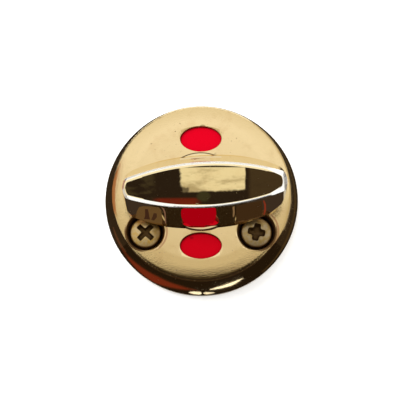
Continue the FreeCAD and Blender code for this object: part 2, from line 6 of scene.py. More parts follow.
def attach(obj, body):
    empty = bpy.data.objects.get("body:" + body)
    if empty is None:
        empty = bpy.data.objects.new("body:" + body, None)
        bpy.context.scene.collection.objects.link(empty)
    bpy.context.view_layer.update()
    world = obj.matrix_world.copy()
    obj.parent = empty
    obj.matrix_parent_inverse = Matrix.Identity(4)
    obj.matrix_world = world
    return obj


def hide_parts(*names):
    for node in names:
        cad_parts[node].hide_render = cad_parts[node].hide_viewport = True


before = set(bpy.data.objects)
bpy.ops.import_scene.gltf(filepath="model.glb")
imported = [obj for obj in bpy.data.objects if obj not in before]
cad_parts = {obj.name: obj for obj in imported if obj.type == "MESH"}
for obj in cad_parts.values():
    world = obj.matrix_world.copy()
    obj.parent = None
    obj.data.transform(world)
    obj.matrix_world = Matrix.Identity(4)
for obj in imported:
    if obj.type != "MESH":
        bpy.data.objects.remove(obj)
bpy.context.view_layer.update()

# The rose: a deep cup of spun brass sheet, polished on the outside, with two oval openings, two
# pressed wells for the cover screws and a drawn hub in the middle that holds the bush.
MM = 0.001
rose_radius, rose_top = 26.0, 13.0
foot_radius, foot_height = 25.85, 2.6
flat_radius, crown_turn = 17.9, 12.0
shoulder_end, shoulder_radius, wall_lean = 23.73, 1.5, 17.0
hub_bore, hub_outer, hub_low, hub_chamfer = 7.45, 9.15, 7.8, 0.25
inner_radius, ceiling = 24.8, 11.8
ROSE_STEPS, WELL_STEPS = 240, 96


def deselect_everything():
    if bpy.context.object and bpy.context.object.mode != "OBJECT":
        bpy.ops.object.mode_set(mode="OBJECT")
    bpy.ops.object.select_all(action="DESELECT")


def pick(piece):
    deselect_everything()
    piece.select_set(True)
    bpy.context.view_layer.objects.active = piece


def arc(centre, radius, first, last, count):
    """Points of an arc in a section; angles in degrees from the outward direction, upwards."""
    angles = [math.radians(first + (last - first) * step / count) for step in range(count + 1)]
    return [(centre[0] + radius * math.cos(a), centre[1] + radius * math.sin(a)) for a in angles]


def turned(name, section, steps, centre=(0.0, 0.0), closed=True):
    """A section, traced point by point as (radius, height) in millimetres, then spun round."""
    deselect_everything()
    bpy.ops.mesh.primitive_plane_add(size=MM, location=(0, 0, 0))
    piece = bpy.context.object
    piece.name = name
    start = Vector((centre[0] + section[0][0], centre[1], section[0][1])) * MM
    for vertex in piece.data.vertices:
        vertex.co = start
    bpy.ops.object.mode_set(mode="EDIT")
    bpy.ops.mesh.select_mode(type="VERT")
    bpy.ops.mesh.select_all(action="SELECT")
    bpy.ops.mesh.merge(type="CENTER")
    path = list(section[1:]) + ([section[0]] if closed else [])
    last = section[0]
    for radius, height in path:
        step = Vector((radius - last[0], 0, height - last[1])) * MM
        bpy.ops.mesh.extrude_region_move(TRANSFORM_OT_translate={"value": step})
        last = (radius, height)
    bpy.ops.mesh.select_all(action="SELECT")
    bpy.ops.mesh.spin(steps=steps, angle=2 * math.pi, axis=(0, 0, 1),
                      center=(centre[0] * MM, centre[1] * MM, 0))
    bpy.ops.mesh.select_all(action="SELECT")
    bpy.ops.mesh.remove_doubles(threshold=MM * 0.002)
    bpy.ops.mesh.normals_make_consistent(inside=False)
    bpy.ops.object.mode_set(mode="OBJECT")
    return piece


def combine(piece, tool, operation):
    """Cut a tool out of a piece, or weld it on."""
    pick(piece)
    change = piece.modifiers.new("change", "BOOLEAN")
    change.operation = operation
    change.solver = "EXACT"
    change.object = tool
    bpy.ops.object.modifier_apply(modifier=change.name)
    bpy.data.objects.remove(tool)


def polish(piece, angle):
    """Smooth shading that keeps the corners, with the large faces true."""
    pick(piece)
    bpy.ops.object.shade_smooth_by_angle(angle=math.radians(angle))
    true = piece.modifiers.new("true", "WEIGHTED_NORMAL")
    true.keep_sharp = True
    true.weight = 100
    bpy.ops.object.modifier_apply(modifier=true.name)


turn_a, lean_a = math.radians(crown_turn), math.radians(wall_lean)
shoulder_x = shoulder_end - shoulder_radius * math.cos(lean_a)
crown_x = shoulder_x + shoulder_radius * math.sin(turn_a)
crown_radius = (crown_x - flat_radius) / math.sin(turn_a)
crown_z = rose_top - crown_radius * (1 - math.cos(turn_a))
shoulder_z = crown_z - shoulder_radius * math.cos(turn_a)
shoulder_end_z = shoulder_z + shoulder_radius * math.sin(lean_a)
run, rise = rose_radius - shoulder_end, shoulder_end_z - foot_height
bow_radius = (run ** 2 + rise ** 2) / (2 * (rise * math.sin(lean_a) - run * math.cos(lean_a)))
bow_x = shoulder_end - bow_radius * math.cos(lean_a)
bow_z = shoulder_end_z - bow_radius * math.sin(lean_a)
bow_first = math.degrees(math.atan2(foot_height - bow_z, rose_radius - bow_x))

outside = [(foot_radius, 0.0)]
outside += arc((bow_x, bow_z), bow_radius, bow_first, wall_lean, 20)
outside += arc((shoulder_x, shoulder_z), shoulder_radius, wall_lean, 90 - crown_turn, 14)[1:]
outside += arc((flat_radius, rose_top - crown_radius), crown_radius, 90 - crown_turn, 90, 16)[1:]
inside = [(hub_bore + hub_chamfer, rose_top), (hub_bore, rose_top - hub_chamfer), (hub_bore, hub_low),
          (hub_outer, hub_low), (hub_outer, ceiling), (19.1, ceiling), (22.36, 11.33), (22.52, 11.26),
          (22.58, 11.125), (inner_radius, foot_height), (inner_radius, 0.0)]
rose = turned("rose_cover", outside + inside, ROSE_STEPS)

well_x, well_y = 14.6, 10.55
well_floor, well_under, well_mouth, well_foot = 9.4, 8.3, 5.05, 4.25
cup_radius, lip_radius, screw_hole, floor_fillet = 5.55, 0.5, 2.3, 0.25
for sign in (-1, 1):
    place = (sign * well_x, -well_y)
    section = [(0, well_under), (cup_radius, well_under), (cup_radius, ceiling), (0, ceiling)]
    cup = turned("well_cup", section, WELL_STEPS, place, closed=False)
    combine(rose, cup, "UNION")
for sign in (-1, 1):
    place = (sign * well_x, -well_y)
    section = [(0, well_under - 1), (screw_hole, well_under - 1), (screw_hole, well_floor),
               (well_foot - floor_fillet, well_floor), (well_foot, well_floor + floor_fillet)]
    section += arc((well_mouth + lip_radius, rose_top - lip_radius), lip_radius, 180, 98, 8)
    section += [(well_mouth + 0.6, rose_top + 1), (0, rose_top + 1)]
    tool = turned("well_tool", section, WELL_STEPS, place, closed=False)
    combine(rose, tool, "DIFFERENCE")

oval_place, oval_wide, oval_tall, oval_cut = 14.37, 10.95, 6.85, 6.0
for sign in (-1, 1):
    deselect_everything()
    bpy.ops.mesh.primitive_cylinder_add(vertices=128, radius=MM, depth=oval_cut * MM,
                                        location=(0, sign * oval_place * MM, rose_top * MM))
    tool = bpy.context.object
    tool.scale = (oval_wide / 2, oval_tall / 2, 1)
    bpy.ops.object.transform_apply(location=True, rotation=True, scale=True)
    combine(rose, tool, "DIFFERENCE")

# the openings' edges are broken by the polishing wheel
broken_edge = 0.14
pick(rose)
bpy.ops.object.mode_set(mode="EDIT")
bpy.ops.mesh.select_mode(type="EDGE")
bpy.ops.mesh.select_all(action="DESELECT")
bpy.ops.object.mode_set(mode="OBJECT")


def on_oval_edge(point):
    height_right = abs(point.z / MM - rose_top) < 0.01
    across = point.x / MM / (oval_wide / 2)
    up = (abs(point.y / MM) - oval_place) / (oval_tall / 2)
    return height_right and abs(across ** 2 + up ** 2 - 1) < 0.02


for edge in rose.data.edges:
    ends = [rose.data.vertices[i].co for i in edge.vertices]
    edge.select = all(on_oval_edge(end) for end in ends)
bpy.ops.object.mode_set(mode="EDIT")
bpy.ops.mesh.bevel(offset=broken_edge * MM, segments=3, affect="EDGES")
bpy.ops.object.mode_set(mode="OBJECT")
polish(rose, 32)


class Socket:
    """A shader value that can be used in an expression."""

    def __init__(self, tree, source):
        self.tree = tree
        self.source = source

    def maths(self, operation, other, swap=False):
        values = [other, self] if swap else [self, other]
        return make_node(self.tree, "ShaderNodeMath", {"operation": operation}, dict(enumerate(values)))

    def __add__(self, other):
        return self.maths("ADD", other)

    __radd__ = __add__

    def __mul__(self, other):
        return self.maths("MULTIPLY", other)

    __rmul__ = __mul__

    def __sub__(self, other):
        return self.maths("SUBTRACT", other)

    def __rsub__(self, other):
        return self.maths("SUBTRACT", other, swap=True)

    def __truediv__(self, other):
        return self.maths("DIVIDE", other)

    def __pow__(self, other):
        return self.maths("POWER", other)


def make_node(tree, kind, settings=None, inputs=None, output=0):
    """Add one node: its settings first, then the values or links of its sockets."""
    node = tree.nodes.new(kind)
    for key, value in (settings or {}).items():
        if key == "stops":
            ramp = node.color_ramp
            while len(ramp.elements) < len(value):
                ramp.elements.new(0.5)
            for element, (place, colour) in zip(ramp.elements, value):
                element.position = place
                element.color = (*colour, 1.0) if isinstance(colour, tuple) else (colour,) * 3 + (1.0,)
        else:
            setattr(node, key, value)
    for key, value in (inputs or {}).items():
        if isinstance(value, Socket):
            tree.links.new(value.source, node.inputs[key])
        else:
            node.inputs[key].default_value = value
    return Socket(tree, node.outputs[output])


def new_finish(name):
    material = bpy.data.materials.new(name)
    material.use_nodes = True
    tree = material.node_tree
    tree.nodes.clear()
    return material, tree


def object_place(tree, scale=(1, 1, 1), turn=(0, 0, 0), shift=(0, 0, 0)):
    place = make_node(tree, "ShaderNodeTexCoord", output=3)
    return make_node(tree, "ShaderNodeMapping", inputs={
        "Vector": place, "Scale": scale, "Rotation": turn, "Location": shift})


def noise(tree, place, scale, detail=2.0, rough=0.5):
    return make_node(tree, "ShaderNodeTexNoise", inputs={
        "Vector": place, "Scale": scale, "Detail": detail, "Roughness": rough})


def ramp(tree, value, low, high):
    """0 below low, 1 above high, smooth between."""
    return make_node(tree, "ShaderNodeMapRange", {"interpolation_type": "SMOOTHSTEP"}, {
        "Value": value, "From Min": low, "From Max": high})


def blend_colours(tree, factor, first, second):
    """Mix two colours, each a value or a socket."""
    node = tree.nodes.new("ShaderNodeMix")
    node.data_type = "RGBA"
    for key, value in ((0, factor), (6, first), (7, second)):
        if isinstance(value, Socket):
            tree.links.new(value.source, node.inputs[key])
        else:
            node.inputs[key].default_value = (*value, 1.0) if isinstance(value, tuple) else value
    return Socket(tree, node.outputs[2])


def close_finish(tree, colour, metallic, roughness, height=None, bump_strength=0.3, bump_distance=1e-4,
                 coat=0.0, specular=0.5):
    shader = tree.nodes.new("ShaderNodeBsdfPrincipled")
    out = tree.nodes.new("ShaderNodeOutputMaterial")
    for key, value in (("Base Color", colour), ("Roughness", roughness), ("Metallic", metallic)):
        if isinstance(value, Socket):
            tree.links.new(value.source, shader.inputs[key])
        else:
            shader.inputs[key].default_value = (*value, 1.0) if isinstance(value, tuple) else value
    shader.inputs["Coat Weight"].default_value = coat
    shader.inputs["Coat Roughness"].default_value = 0.08
    shader.inputs["Specular IOR Level"].default_value = specular
    if height is not None:
        bump = make_node(tree, "ShaderNodeBump", inputs={
            "Height": height, "Strength": bump_strength, "Distance": bump_distance})
        tree.links.new(bump.source, shader.inputs["Normal"])
    tree.links.new(shader.outputs[0], out.inputs[0])


def split_place(tree):
    """The point's x, y and z in millimetres."""
    place = make_node(tree, "ShaderNodeTexCoord", output=3)
    parts = tree.nodes.new("ShaderNodeSeparateXYZ")
    tree.links.new(place.source, parts.inputs[0])
    return [Socket(tree, out) * 1000 for out in parts.outputs]


def brass_finish(name, clean, dull, roughness, waviness, seed, shade_and_dent=None, satin=None):
    """Polished brass: slow waves of the polishing wheel, fine scratches, pits and a little tarnish.

    shade_and_dent and satin are masks: painted shade in the wells and on the ovals' cut edges, with a small
    dent, and the metal that the wheel left less bright.
    """
    material, tree = new_finish(name)
    place = object_place(tree, shift=(seed, 0, 0))
    slow = noise(tree, place, 90.0, 2.0)
    cloud = noise(tree, place, 260.0, 4.0, 0.6)
    pits = noise(tree, place, 1500.0, 2.0, 0.6)
    pit_mask = ramp(tree, pits, 0.70, 0.75)
    streaks = noise(tree, object_place(tree, (1, 14, 14), (0, 0, 0.5), (seed, 0, 0)), 420.0, 3.0, 0.6)
    cross = noise(tree, object_place(tree, (14, 1, 14), (0, 0, 0.35), (seed, 0, 0)), 420.0, 3.0, 0.6)
    scratches = ramp(tree, streaks, 0.66, 0.72) + ramp(tree, cross, 0.68, 0.74)
    tarnish = ramp(tree, cloud, 0.50, 0.75)
    colour = blend_colours(tree, tarnish * 0.40, clean, dull)
    colour = blend_colours(tree, pit_mask * 0.6, colour, (0.16, 0.09, 0.035))
    rough = roughness + cloud * 0.05 + scratches * 0.08 + pit_mask * 0.3
    height = slow * waviness + scratches * -0.02 + pit_mask * -0.10
    if satin is not None:
        mask = satin(tree)
        grain = noise(tree, object_place(tree, (1, 1, 1), shift=(seed, 0, 0)), 3200.0, 2.0, 0.6)
        rough = rough + mask * 0.02
        height = height + mask * grain * 0.45
    if shade_and_dent is not None:
        mask = shade_and_dent(tree)
        # painted reflection: a pinkish arc on the right side of each well's lip
        colour = blend_colours(tree, lip_reflection(tree) * 0.6, colour, (0.42, 0.17, 0.09))
        # painted shade: darker and rougher in the wells and on the ovals' cut edges
        colour = blend_colours(tree, mask * (0.82 + cloud * 0.2), colour, (0.20, 0.095, 0.035))
        rough = rough + mask * 0.35
    close_finish(tree, colour, 1.0, rough, height, 0.5, 2e-4)
    return material


def well_shade_and_dent(tree):
    """Painted shade on the wells' walls and floors and on the ovals' cut edges, and a small dent above the
    upper oval.
    """
    x, y, z = split_place(tree)
    below = ramp(tree, rose_top - 0.15 - z, 0.0, 0.35)
    near = None
    for side in (-1, 1):
        gap = ((x - side * well_x) ** 2 + (y + well_y) ** 2) ** 0.5
        inside = ramp(tree, 5.5 - gap, 0.0, 0.12) * below
        near = inside if near is None else near + inside
    width, height = oval_wide / 2 + 0.09, oval_tall / 2 + 0.09
    middle = (y * y) ** 0.5 - oval_place
    cut = (x * x / width ** 2 + middle * middle / height ** 2) ** 0.5
    # painted shade over the ovals' cut edges
    near = near + ramp(tree, 1.0 - cut, 0.0, 0.02)
    dent = ((x - 0.5) * (x - 0.5) * 0.25 + (y - 17.9) * (y - 17.9)) ** 0.5
    return ramp(tree, near + ramp(tree, 0.5 - dent, 0.0, 0.25) * 0.55, 0.0, 1.0)


def lip_reflection(tree):
    """A painted reflection: a thin pinkish arc on the right side of each well's lip."""
    x, y = split_place(tree)[:2]
    arcs = None
    for side in (-1, 1):
        gap = ((x - side * well_x) ** 2 + (y + well_y) ** 2) ** 0.5
        arc_mask = ramp(tree, gap, 5.3, 5.6) * ramp(tree, 6.15 - gap, 0.0, 0.3)
        arc_mask = arc_mask * ramp(tree, x - side * well_x, 1.8, 4.6)
        arcs = arc_mask if arcs is None else arcs + arc_mask
    return arcs


def rim_satin(tree):
    """The crowned rim, which is brushed rather than mirror bright."""
    x, y = split_place(tree)[:2]
    reach = (x * x + y * y) ** 0.5
    return ramp(tree, reach, 18.0, 21.0) * ramp(tree, 23.9 - reach, 0.0, 0.5)


rose_brass = brass_finish("polished_rose_brass", (0.87, 0.68, 0.36), (0.74, 0.52, 0.25), 0.07, 0.35, 0.3,
                          well_shade_and_dent, rim_satin)
rose.data.materials.clear()
rose.data.materials.append(rose_brass)
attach(rose, "cover")
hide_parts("rose")

# The red fields: two moulded oval plugs in a deep red plastic, pushed into the openings from behind
# until their flanges meet the sheet. The lower one carries a small scuff.
plug_face, plug_back, plug_gap, plug_edge = 12.1, 10.6, 0.03, 0.12


def red_field(side, sign, colour, darker):
    deselect_everything()
    middle = Vector((0, sign * oval_place, (plug_face + plug_back) / 2))
    bpy.ops.mesh.primitive_cylinder_add(vertices=128, radius=MM, depth=(plug_face - plug_back) * MM,
                                        location=middle * MM)
    plug = bpy.context.object
    plug.name = "red_plug_" + side
    plug.scale = (oval_wide / 2 - plug_gap, oval_tall / 2 - plug_gap, 1)
    bpy.ops.object.transform_apply(location=True, rotation=True, scale=True)
    bpy.ops.object.mode_set(mode="EDIT")
    bpy.ops.mesh.select_mode(type="FACE")
    bpy.ops.mesh.select_all(action="DESELECT")
    bpy.ops.object.mode_set(mode="OBJECT")
    for face in plug.data.polygons:
        face.select = face.normal.z > 0.9
    bpy.ops.object.mode_set(mode="EDIT")
    bpy.ops.mesh.bevel(offset=plug_edge * MM, segments=3, affect="EDGES")
    bpy.ops.object.mode_set(mode="OBJECT")
    polish(plug, 40)
    material, tree = new_finish("moulded_red_" + side)
    place = object_place(tree)
    cloud = noise(tree, place, 300.0, 3.0)
    grain = noise(tree, place, 2600.0, 2.0)
    scuffs = noise(tree, object_place(tree, (1, 9, 9), (0, 0, 0.7)), 500.0, 3.0, 0.6)
    scuff_mask = ramp(tree, scuffs, 0.67, 0.75)
    paint = blend_colours(tree, cloud, darker, colour)
    paint = blend_colours(tree, scuff_mask * 0.25, paint, (0.25, 0.01, 0.01))
    if sign < 0:
        x, y = split_place(tree)[:2]
        mark = ((x + 2.4) * (x + 2.4) + (y + 12.2) * (y + 12.2) * 2.0) ** 0.5
        paint = blend_colours(tree, ramp(tree, 0.75 - mark, 0.0, 0.5) * 0.5, paint, (0.12, 0.0, 0.004))
    close_finish(tree, paint, 0.0, 0.45 + scuff_mask * 0.25 + cloud * 0.06, cloud * 0.3 + grain * 0.05,
                 0.15, 5e-5, specular=0.03)
    plug.data.materials.append(material)
    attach(plug, "cover")
    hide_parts("red_field_" + side)


# the lower field gets a darker red than the upper: painted shade on the same red plastic
red_field("upper", 1, (0.68, 0.0, 0.014), (0.64, 0.0, 0.011))
red_field("lower", -1, (0.50, 0.0, 0.007), (0.46, 0.0, 0.006))

# The cover screws: brass-plated machine screws with low domed heads and a cross recess. The left one
# is yellow and dull, the right one is worn to grey round a recess that a driver has rounded.
head_radius, head_low, head_top, head_dome = 4.0, 9.4, 11.8, 0.6
shank_radius, shank_end, shank_chamfer = 1.95, 2.4, 0.4
cross_depth, cross_top, cross_taper = 1.7, 0.5, 0.62


def cover_screw(side, sign, turn, worn, cross_width, cross_slot, clean, dull, grey, shaded):
    place = (sign * well_x, -well_y)
    dome = (head_radius ** 2 + head_dome ** 2) / (2 * head_dome)
    reach = math.degrees(math.asin((head_radius - 0.25) / dome))
    edge = head_top - head_dome
    section = [(0, shank_end), (shank_radius - shank_chamfer, shank_end),
               (shank_radius, shank_end + shank_chamfer), (shank_radius, head_low), (head_radius, head_low),
               (head_radius, edge - 0.12), (head_radius - 0.08, edge), (head_radius - 0.22, edge + 0.06)]
    section += arc((0, head_top - dome), dome, 90 - reach, 90, 14)
    screw = turned("screw_" + side, section, WELL_STEPS, place, closed=False)
    deselect_everything()
    bpy.ops.mesh.primitive_plane_add(size=cross_slot * MM, location=(0, 0, 0))
    tool = bpy.context.object
    bpy.ops.object.mode_set(mode="EDIT")
    bpy.ops.mesh.select_mode(type="EDGE")
    arm = (cross_width - cross_slot) / 2
    for way in (Vector((1, 0, 0)), Vector((-1, 0, 0)), Vector((0, 1, 0)), Vector((0, -1, 0))):
        bpy.ops.mesh.select_all(action="DESELECT")
        bpy.ops.object.mode_set(mode="OBJECT")
        for side_edge in tool.data.edges:
            middle = sum((tool.data.vertices[i].co for i in side_edge.vertices), Vector()) / 2
            side_edge.select = (middle - way * cross_slot / 2 * MM).length < 0.05 * MM
        bpy.ops.object.mode_set(mode="EDIT")
        bpy.ops.mesh.extrude_region_move(TRANSFORM_OT_translate={"value": way * arm * MM})
    bpy.ops.mesh.select_all(action="SELECT")
    depth = cross_depth + cross_top
    bpy.ops.mesh.extrude_region_move(TRANSFORM_OT_translate={"value": Vector((0, 0, -depth * MM))})
    bpy.ops.transform.resize(value=(cross_taper, cross_taper, 1), center_override=(0, 0, 0))
    bpy.ops.mesh.select_all(action="SELECT")
    bpy.ops.mesh.normals_make_consistent(inside=False)
    bpy.ops.object.mode_set(mode="OBJECT")
    if worn > 0:
        pick(tool)
        soften = tool.modifiers.new("soften", "BEVEL")
        soften.width = worn * MM
        soften.segments = 4
        soften.limit_method = "ANGLE"
        bpy.ops.object.modifier_apply(modifier=soften.name)
    tool.rotation_euler = (0, 0, math.radians(turn))
    tool.location = (place[0] * MM, place[1] * MM, (head_top + cross_top) * MM)
    bpy.ops.object.transform_apply(location=True, rotation=True, scale=True)
    combine(screw, tool, "DIFFERENCE")
    pick(screw)
    soften = screw.modifiers.new("soften", "BEVEL")
    soften.width = (0.05 + worn * 0.1) * MM
    soften.segments = 3
    soften.limit_method = "ANGLE"
    soften.angle_limit = math.radians(38)
    bpy.ops.object.modifier_apply(modifier=soften.name)
    bpy.ops.object.mode_set(mode="EDIT")
    bpy.ops.mesh.select_all(action="SELECT")
    bpy.ops.mesh.dissolve_degenerate(threshold=MM * 0.001)
    bpy.ops.object.mode_set(mode="OBJECT")
    polish(screw, 35)

    material, tree = new_finish("plated_screw_" + side)
    spot = object_place(tree, shift=(-place[0] * MM, -place[1] * MM, 0))
    x, y, z = split_place(tree)
    gap = ((x - place[0]) ** 2 + (y - place[1]) ** 2) ** 0.5
    recess = ramp(tree, 2.9 - gap, 0.0, 0.1) * ramp(tree, head_top - 0.32 - z, 0.0, 0.12)
    rim_shade = ramp(tree, gap, head_radius - 0.45, head_radius - 0.1)
    cloud = noise(tree, spot, 700.0, 4.0, 0.6)
    fine = noise(tree, spot, 3500.0, 3.0, 0.6)
    wear = ramp(tree, cloud, 0.40, 0.62)
    dirt = ramp(tree, fine, 0.58, 0.72)
    colour = blend_colours(tree, wear, clean, dull)
    colour = blend_colours(tree, dirt * 0.5, colour, grey)
    # painted shade: the head darker towards its right side, as much as shaded says
    shade_to_right = ramp(tree, (x - place[0]) + (y - place[1]) * 0.3, 0.3, 3.2)
    colour = blend_colours(tree, shade_to_right * shaded, colour, (0.24, 0.13, 0.03))
    # painted shade: the head's rim darker beside the well wall, and the cross recess darker
    colour = blend_colours(tree, rim_shade * 0.65, colour, (0.20, 0.10, 0.03))
    colour = blend_colours(tree, recess * 0.93, colour, (0.13, 0.070, 0.024))
    rough = 0.36 + cloud * 0.2 + dirt * 0.2 + recess * 0.2
    close_finish(tree, colour, 1.0, rough, cloud * 0.4 + fine * 0.15, 0.5, 1.2e-4)
    screw.data.materials.append(material)
    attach(screw, "cover")
    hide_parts("cover_screw_" + side)


cover_screw("left", -1, turn=47.0, worn=0.22, cross_width=6.0, cross_slot=1.65, clean=(0.86, 0.67, 0.35),
            dull=(0.84, 0.58, 0.18), grey=(0.40, 0.26, 0.10), shaded=0.75)
cover_screw("right", 1, turn=79.0, worn=0.48, cross_width=5.4, cross_slot=2.1, clean=(0.56, 0.44, 0.26),
            dull=(0.52, 0.37, 0.14), grey=(0.30, 0.22, 0.12), shaded=0.0)

# The thumb turn: a hot-stamped brass grip with a slightly crowned, bevelled face, polished to a
# mirror. It stands on a thin round collar, and its turned spigot runs down through the rose.
grip_face, grip_foot = 21.6, 13.3
grip_half_length, grip_offset = 21.35, 1.2
side_radius, half_thickness, half_end, end_bulge, corner_radius = 62.8, 5.875, 2.4, 0.75, 1.4
grip_lean = math.tan(math.radians(25.5))
bevel_deep, wall_top, wall_bow = 0.45, 0.1, 0.15
collar_radius, collar_edge, collar_round = 10.5, 0.2, 0.15
collar_top = grip_foot + 0.55
spigot_end, spigot_radius, spigot_chamfer = 0.6, 6.0, 0.4
socket_size, socket_top, socket_cut = 5.1, 9.6, 13.0
crown_along, crown_across = 0.00035, 0.002
bevel_thin, bevel_wide, worn_from, worn_over = 0.25, 1.25, 16.0, 4.0
rest_turn = 2.6
END_STEPS, CORNER_STEPS, SIDE_STEPS = 5, 8, 36


def lens_outline(outset, inset):
    """The grip's plan at one level, anticlockwise: the same number of points at every level."""
    end_half = half_end + outset
    end_radius = (end_half ** 2 + end_bulge ** 2) / (2 * end_bulge)
    side_middle = Vector((0, -(side_radius - half_thickness - outset)))
    end_middle = Vector((grip_half_length - end_radius, 0))
    between = end_middle - side_middle
    side_gap, end_gap = side_radius - corner_radius, end_radius - corner_radius
    along = (side_gap ** 2 - end_gap ** 2 + between.length ** 2) / (2 * between.length)
    across = math.sqrt(side_gap ** 2 - along ** 2)
    unit = between.normalized()
    middle = side_middle + unit * along + Vector((unit.y, -unit.x)) * across
    on_side = (middle - side_middle).normalized()
    on_end = (middle - end_middle).normalized()
    quarter = []
    for step in range(END_STEPS):
        angle = math.atan2(on_end.y, on_end.x) * step / END_STEPS
        quarter.append(end_middle + Vector((math.cos(angle), math.sin(angle))) * (end_radius - inset))
    first, last = math.atan2(on_end.y, on_end.x), math.atan2(on_side.y, on_side.x)
    for step in range(CORNER_STEPS):
        angle = first + (last - first) * step / CORNER_STEPS
        quarter.append(middle + Vector((math.cos(angle), math.sin(angle))) * (corner_radius - inset))
    for step in range(SIDE_STEPS + 1):
        angle = last + (math.pi / 2 - last) * step / SIDE_STEPS
        quarter.append(side_middle + Vector((math.cos(angle), math.sin(angle))) * (side_radius - inset))
    upper = quarter + [Vector((-p.x, p.y)) for p in reversed(quarter[:-1])]
    lower = [Vector((p.x, -p.y)) for p in reversed(upper[1:-1])]
    return upper + lower


def set_ring(piece, first, points, height):
    """Put one ring of a piece's points in place; the height is a number or a function of the point."""
    for index, point in enumerate(points):
        level = height(point) if callable(height) else height
        piece.data.vertices[first + index].co = Vector((point.x + grip_offset, point.y, level)) * MM


def crown(point):
    """The face falls away a little towards its ends and sides."""
    return grip_face - crown_along * point.x ** 2 - crown_across * point.y ** 2


def bevel_edge(extra):
    """The bevel's inner edge: narrow along the near side, wide where wear has eaten the right end."""
    ring = []
    for thin, wide in zip(lens_outline(0, bevel_thin + extra), lens_outline(0, bevel_wide + extra)):
        share = 0.2 - 0.01 * thin.x if thin.y < 0 else 0.2
        share += (0.95 - share) * max(0.0, min(1.0, (thin.x - worn_from) / worn_over))
        ring.append(thin.lerp(wide, share))
    return ring


def select_points(piece, first, last):
    """In edit mode, select the points numbered from first up to last, and the edges between them."""
    bpy.ops.object.mode_set(mode="EDIT")
    bpy.ops.mesh.select_mode(type="VERT")
    bpy.ops.mesh.select_all(action="DESELECT")
    bpy.ops.object.mode_set(mode="OBJECT")
    for vertex in piece.data.vertices:
        vertex.select = first <= vertex.index < last
    for edge in piece.data.edges:
        edge.select = all(first <= number < last for number in edge.vertices)
    bpy.ops.object.mode_set(mode="EDIT")


levels = []
for share in (0.0, 0.2, 0.4, 0.6, 0.8):
    level = grip_foot + (grip_face - bevel_deep - wall_top - grip_foot) * share
    outset = (grip_face - level) * grip_lean - wall_bow * 4 * share * (1 - share)
    levels.append((lens_outline(outset, 0), level))
levels += [(lens_outline((bevel_deep + wall_top) * grip_lean, 0), grip_face - bevel_deep - wall_top),
          (lens_outline(bevel_deep * grip_lean, 0.06), grip_face - bevel_deep),
          (bevel_edge(-0.03), lambda p: crown(p) - 0.03),
          (bevel_edge(0.04), crown)]
face_outline = levels[-1][0]
centre_line = [Vector((p.x * 0.94, 0)) for p in lens_outline(0, 0.3)]
for share in (0.25, 0.5, 0.75, 1.0):
    levels.append(([p.lerp(q, share) for p, q in zip(face_outline, centre_line)], crown))
count = len(face_outline)
deselect_everything()
bpy.ops.mesh.primitive_circle_add(vertices=count, radius=MM, fill_type="NOTHING")
grip = bpy.context.object
grip.name = "grip_and_spigot"
set_ring(grip, 0, *levels[0])
for number in range(1, len(levels)):
    select_points(grip, count * (number - 1), count * number)
    bpy.ops.mesh.extrude_region_move(TRANSFORM_OT_translate={"value": Vector((0, 0, MM))})
    bpy.ops.object.mode_set(mode="OBJECT")
    set_ring(grip, count * number, *levels[number])
select_points(grip, 0, count)
bpy.ops.mesh.edge_face_add()
bpy.ops.mesh.select_all(action="SELECT")
bpy.ops.mesh.remove_doubles(threshold=MM * 0.001)
bpy.ops.mesh.normals_make_consistent(inside=False)
bpy.ops.object.mode_set(mode="OBJECT")


def grip_finish(name):
    """Mirror bright brass, with a painted highlight along the bevel, pale and rougher; near-white metal on
    the walls, and a painted shade line at the collar's edge.
    """
    material, tree = new_finish(name)
    x, y, z = split_place(tree)
    turn = math.radians(rest_turn)
    along = ((x * math.cos(turn) + y * math.sin(turn) - grip_offset) ** 2) ** 0.5
    across = ((y * math.cos(turn) - x * math.sin(turn)) ** 2) ** 0.5
    face_level = grip_face - along * along * crown_along - across * across * crown_across
    # painted highlight: the bevel pale and rougher
    on_top = ramp(tree, z, grip_face - bevel_deep - 0.12, grip_face - bevel_deep - 0.05)
    bevel = ramp(tree, face_level - z, 0.008, 0.03) * on_top
    reach = (x * x + y * y) ** 0.5
    # painted shade: a dark line round the collar's top edge
    lip = ramp(tree, collar_top + 0.05 - z, 0.0, 0.04) * ramp(tree, collar_radius + 0.12 - reach, 0.0, 0.05)
    lip = lip * ramp(tree, reach, collar_radius - 0.4, collar_radius - 0.2)
    place = object_place(tree, shift=(1.7, 0, 0))
    slow = noise(tree, place, 90.0, 2.0)
    cloud = noise(tree, place, 260.0, 4.0, 0.6)
    pits = ramp(tree, noise(tree, place, 1500.0, 2.0, 0.6), 0.70, 0.75)
    streaks = noise(tree, object_place(tree, (1, 14, 14), (0, 0, 0.2), (1.7, 0, 0)), 420.0, 3.0, 0.6)
    scratches = ramp(tree, streaks, 0.66, 0.72)
    tarnish = ramp(tree, cloud, 0.5, 0.75) * 0.25
    colour = blend_colours(tree, tarnish, (0.90, 0.74, 0.42), (0.78, 0.56, 0.28))
    wall = ramp(tree, grip_face - bevel_deep - wall_top - z, 0.0, 0.1)
    wall = wall * ramp(tree, z, collar_top + 0.1, collar_top + 0.25)
    colour = blend_colours(tree, wall, colour, (0.97, 0.92, 0.80))
    colour = blend_colours(tree, lip, colour, (0.22, 0.13, 0.06))
    colour = blend_colours(tree, pits * 0.6, colour, (0.16, 0.09, 0.035))
    colour = blend_colours(tree, bevel, colour, (0.99, 0.97, 0.91))
    rough = 0.03 + cloud * 0.03 + scratches * 0.08 + pits * 0.3 + bevel * (0.14 + cloud * 0.12)
    close_finish(tree, colour, 1.0, rough, slow * 0.18 + scratches * -0.02 + pits * -0.10, 0.5, 2e-4)
    return material


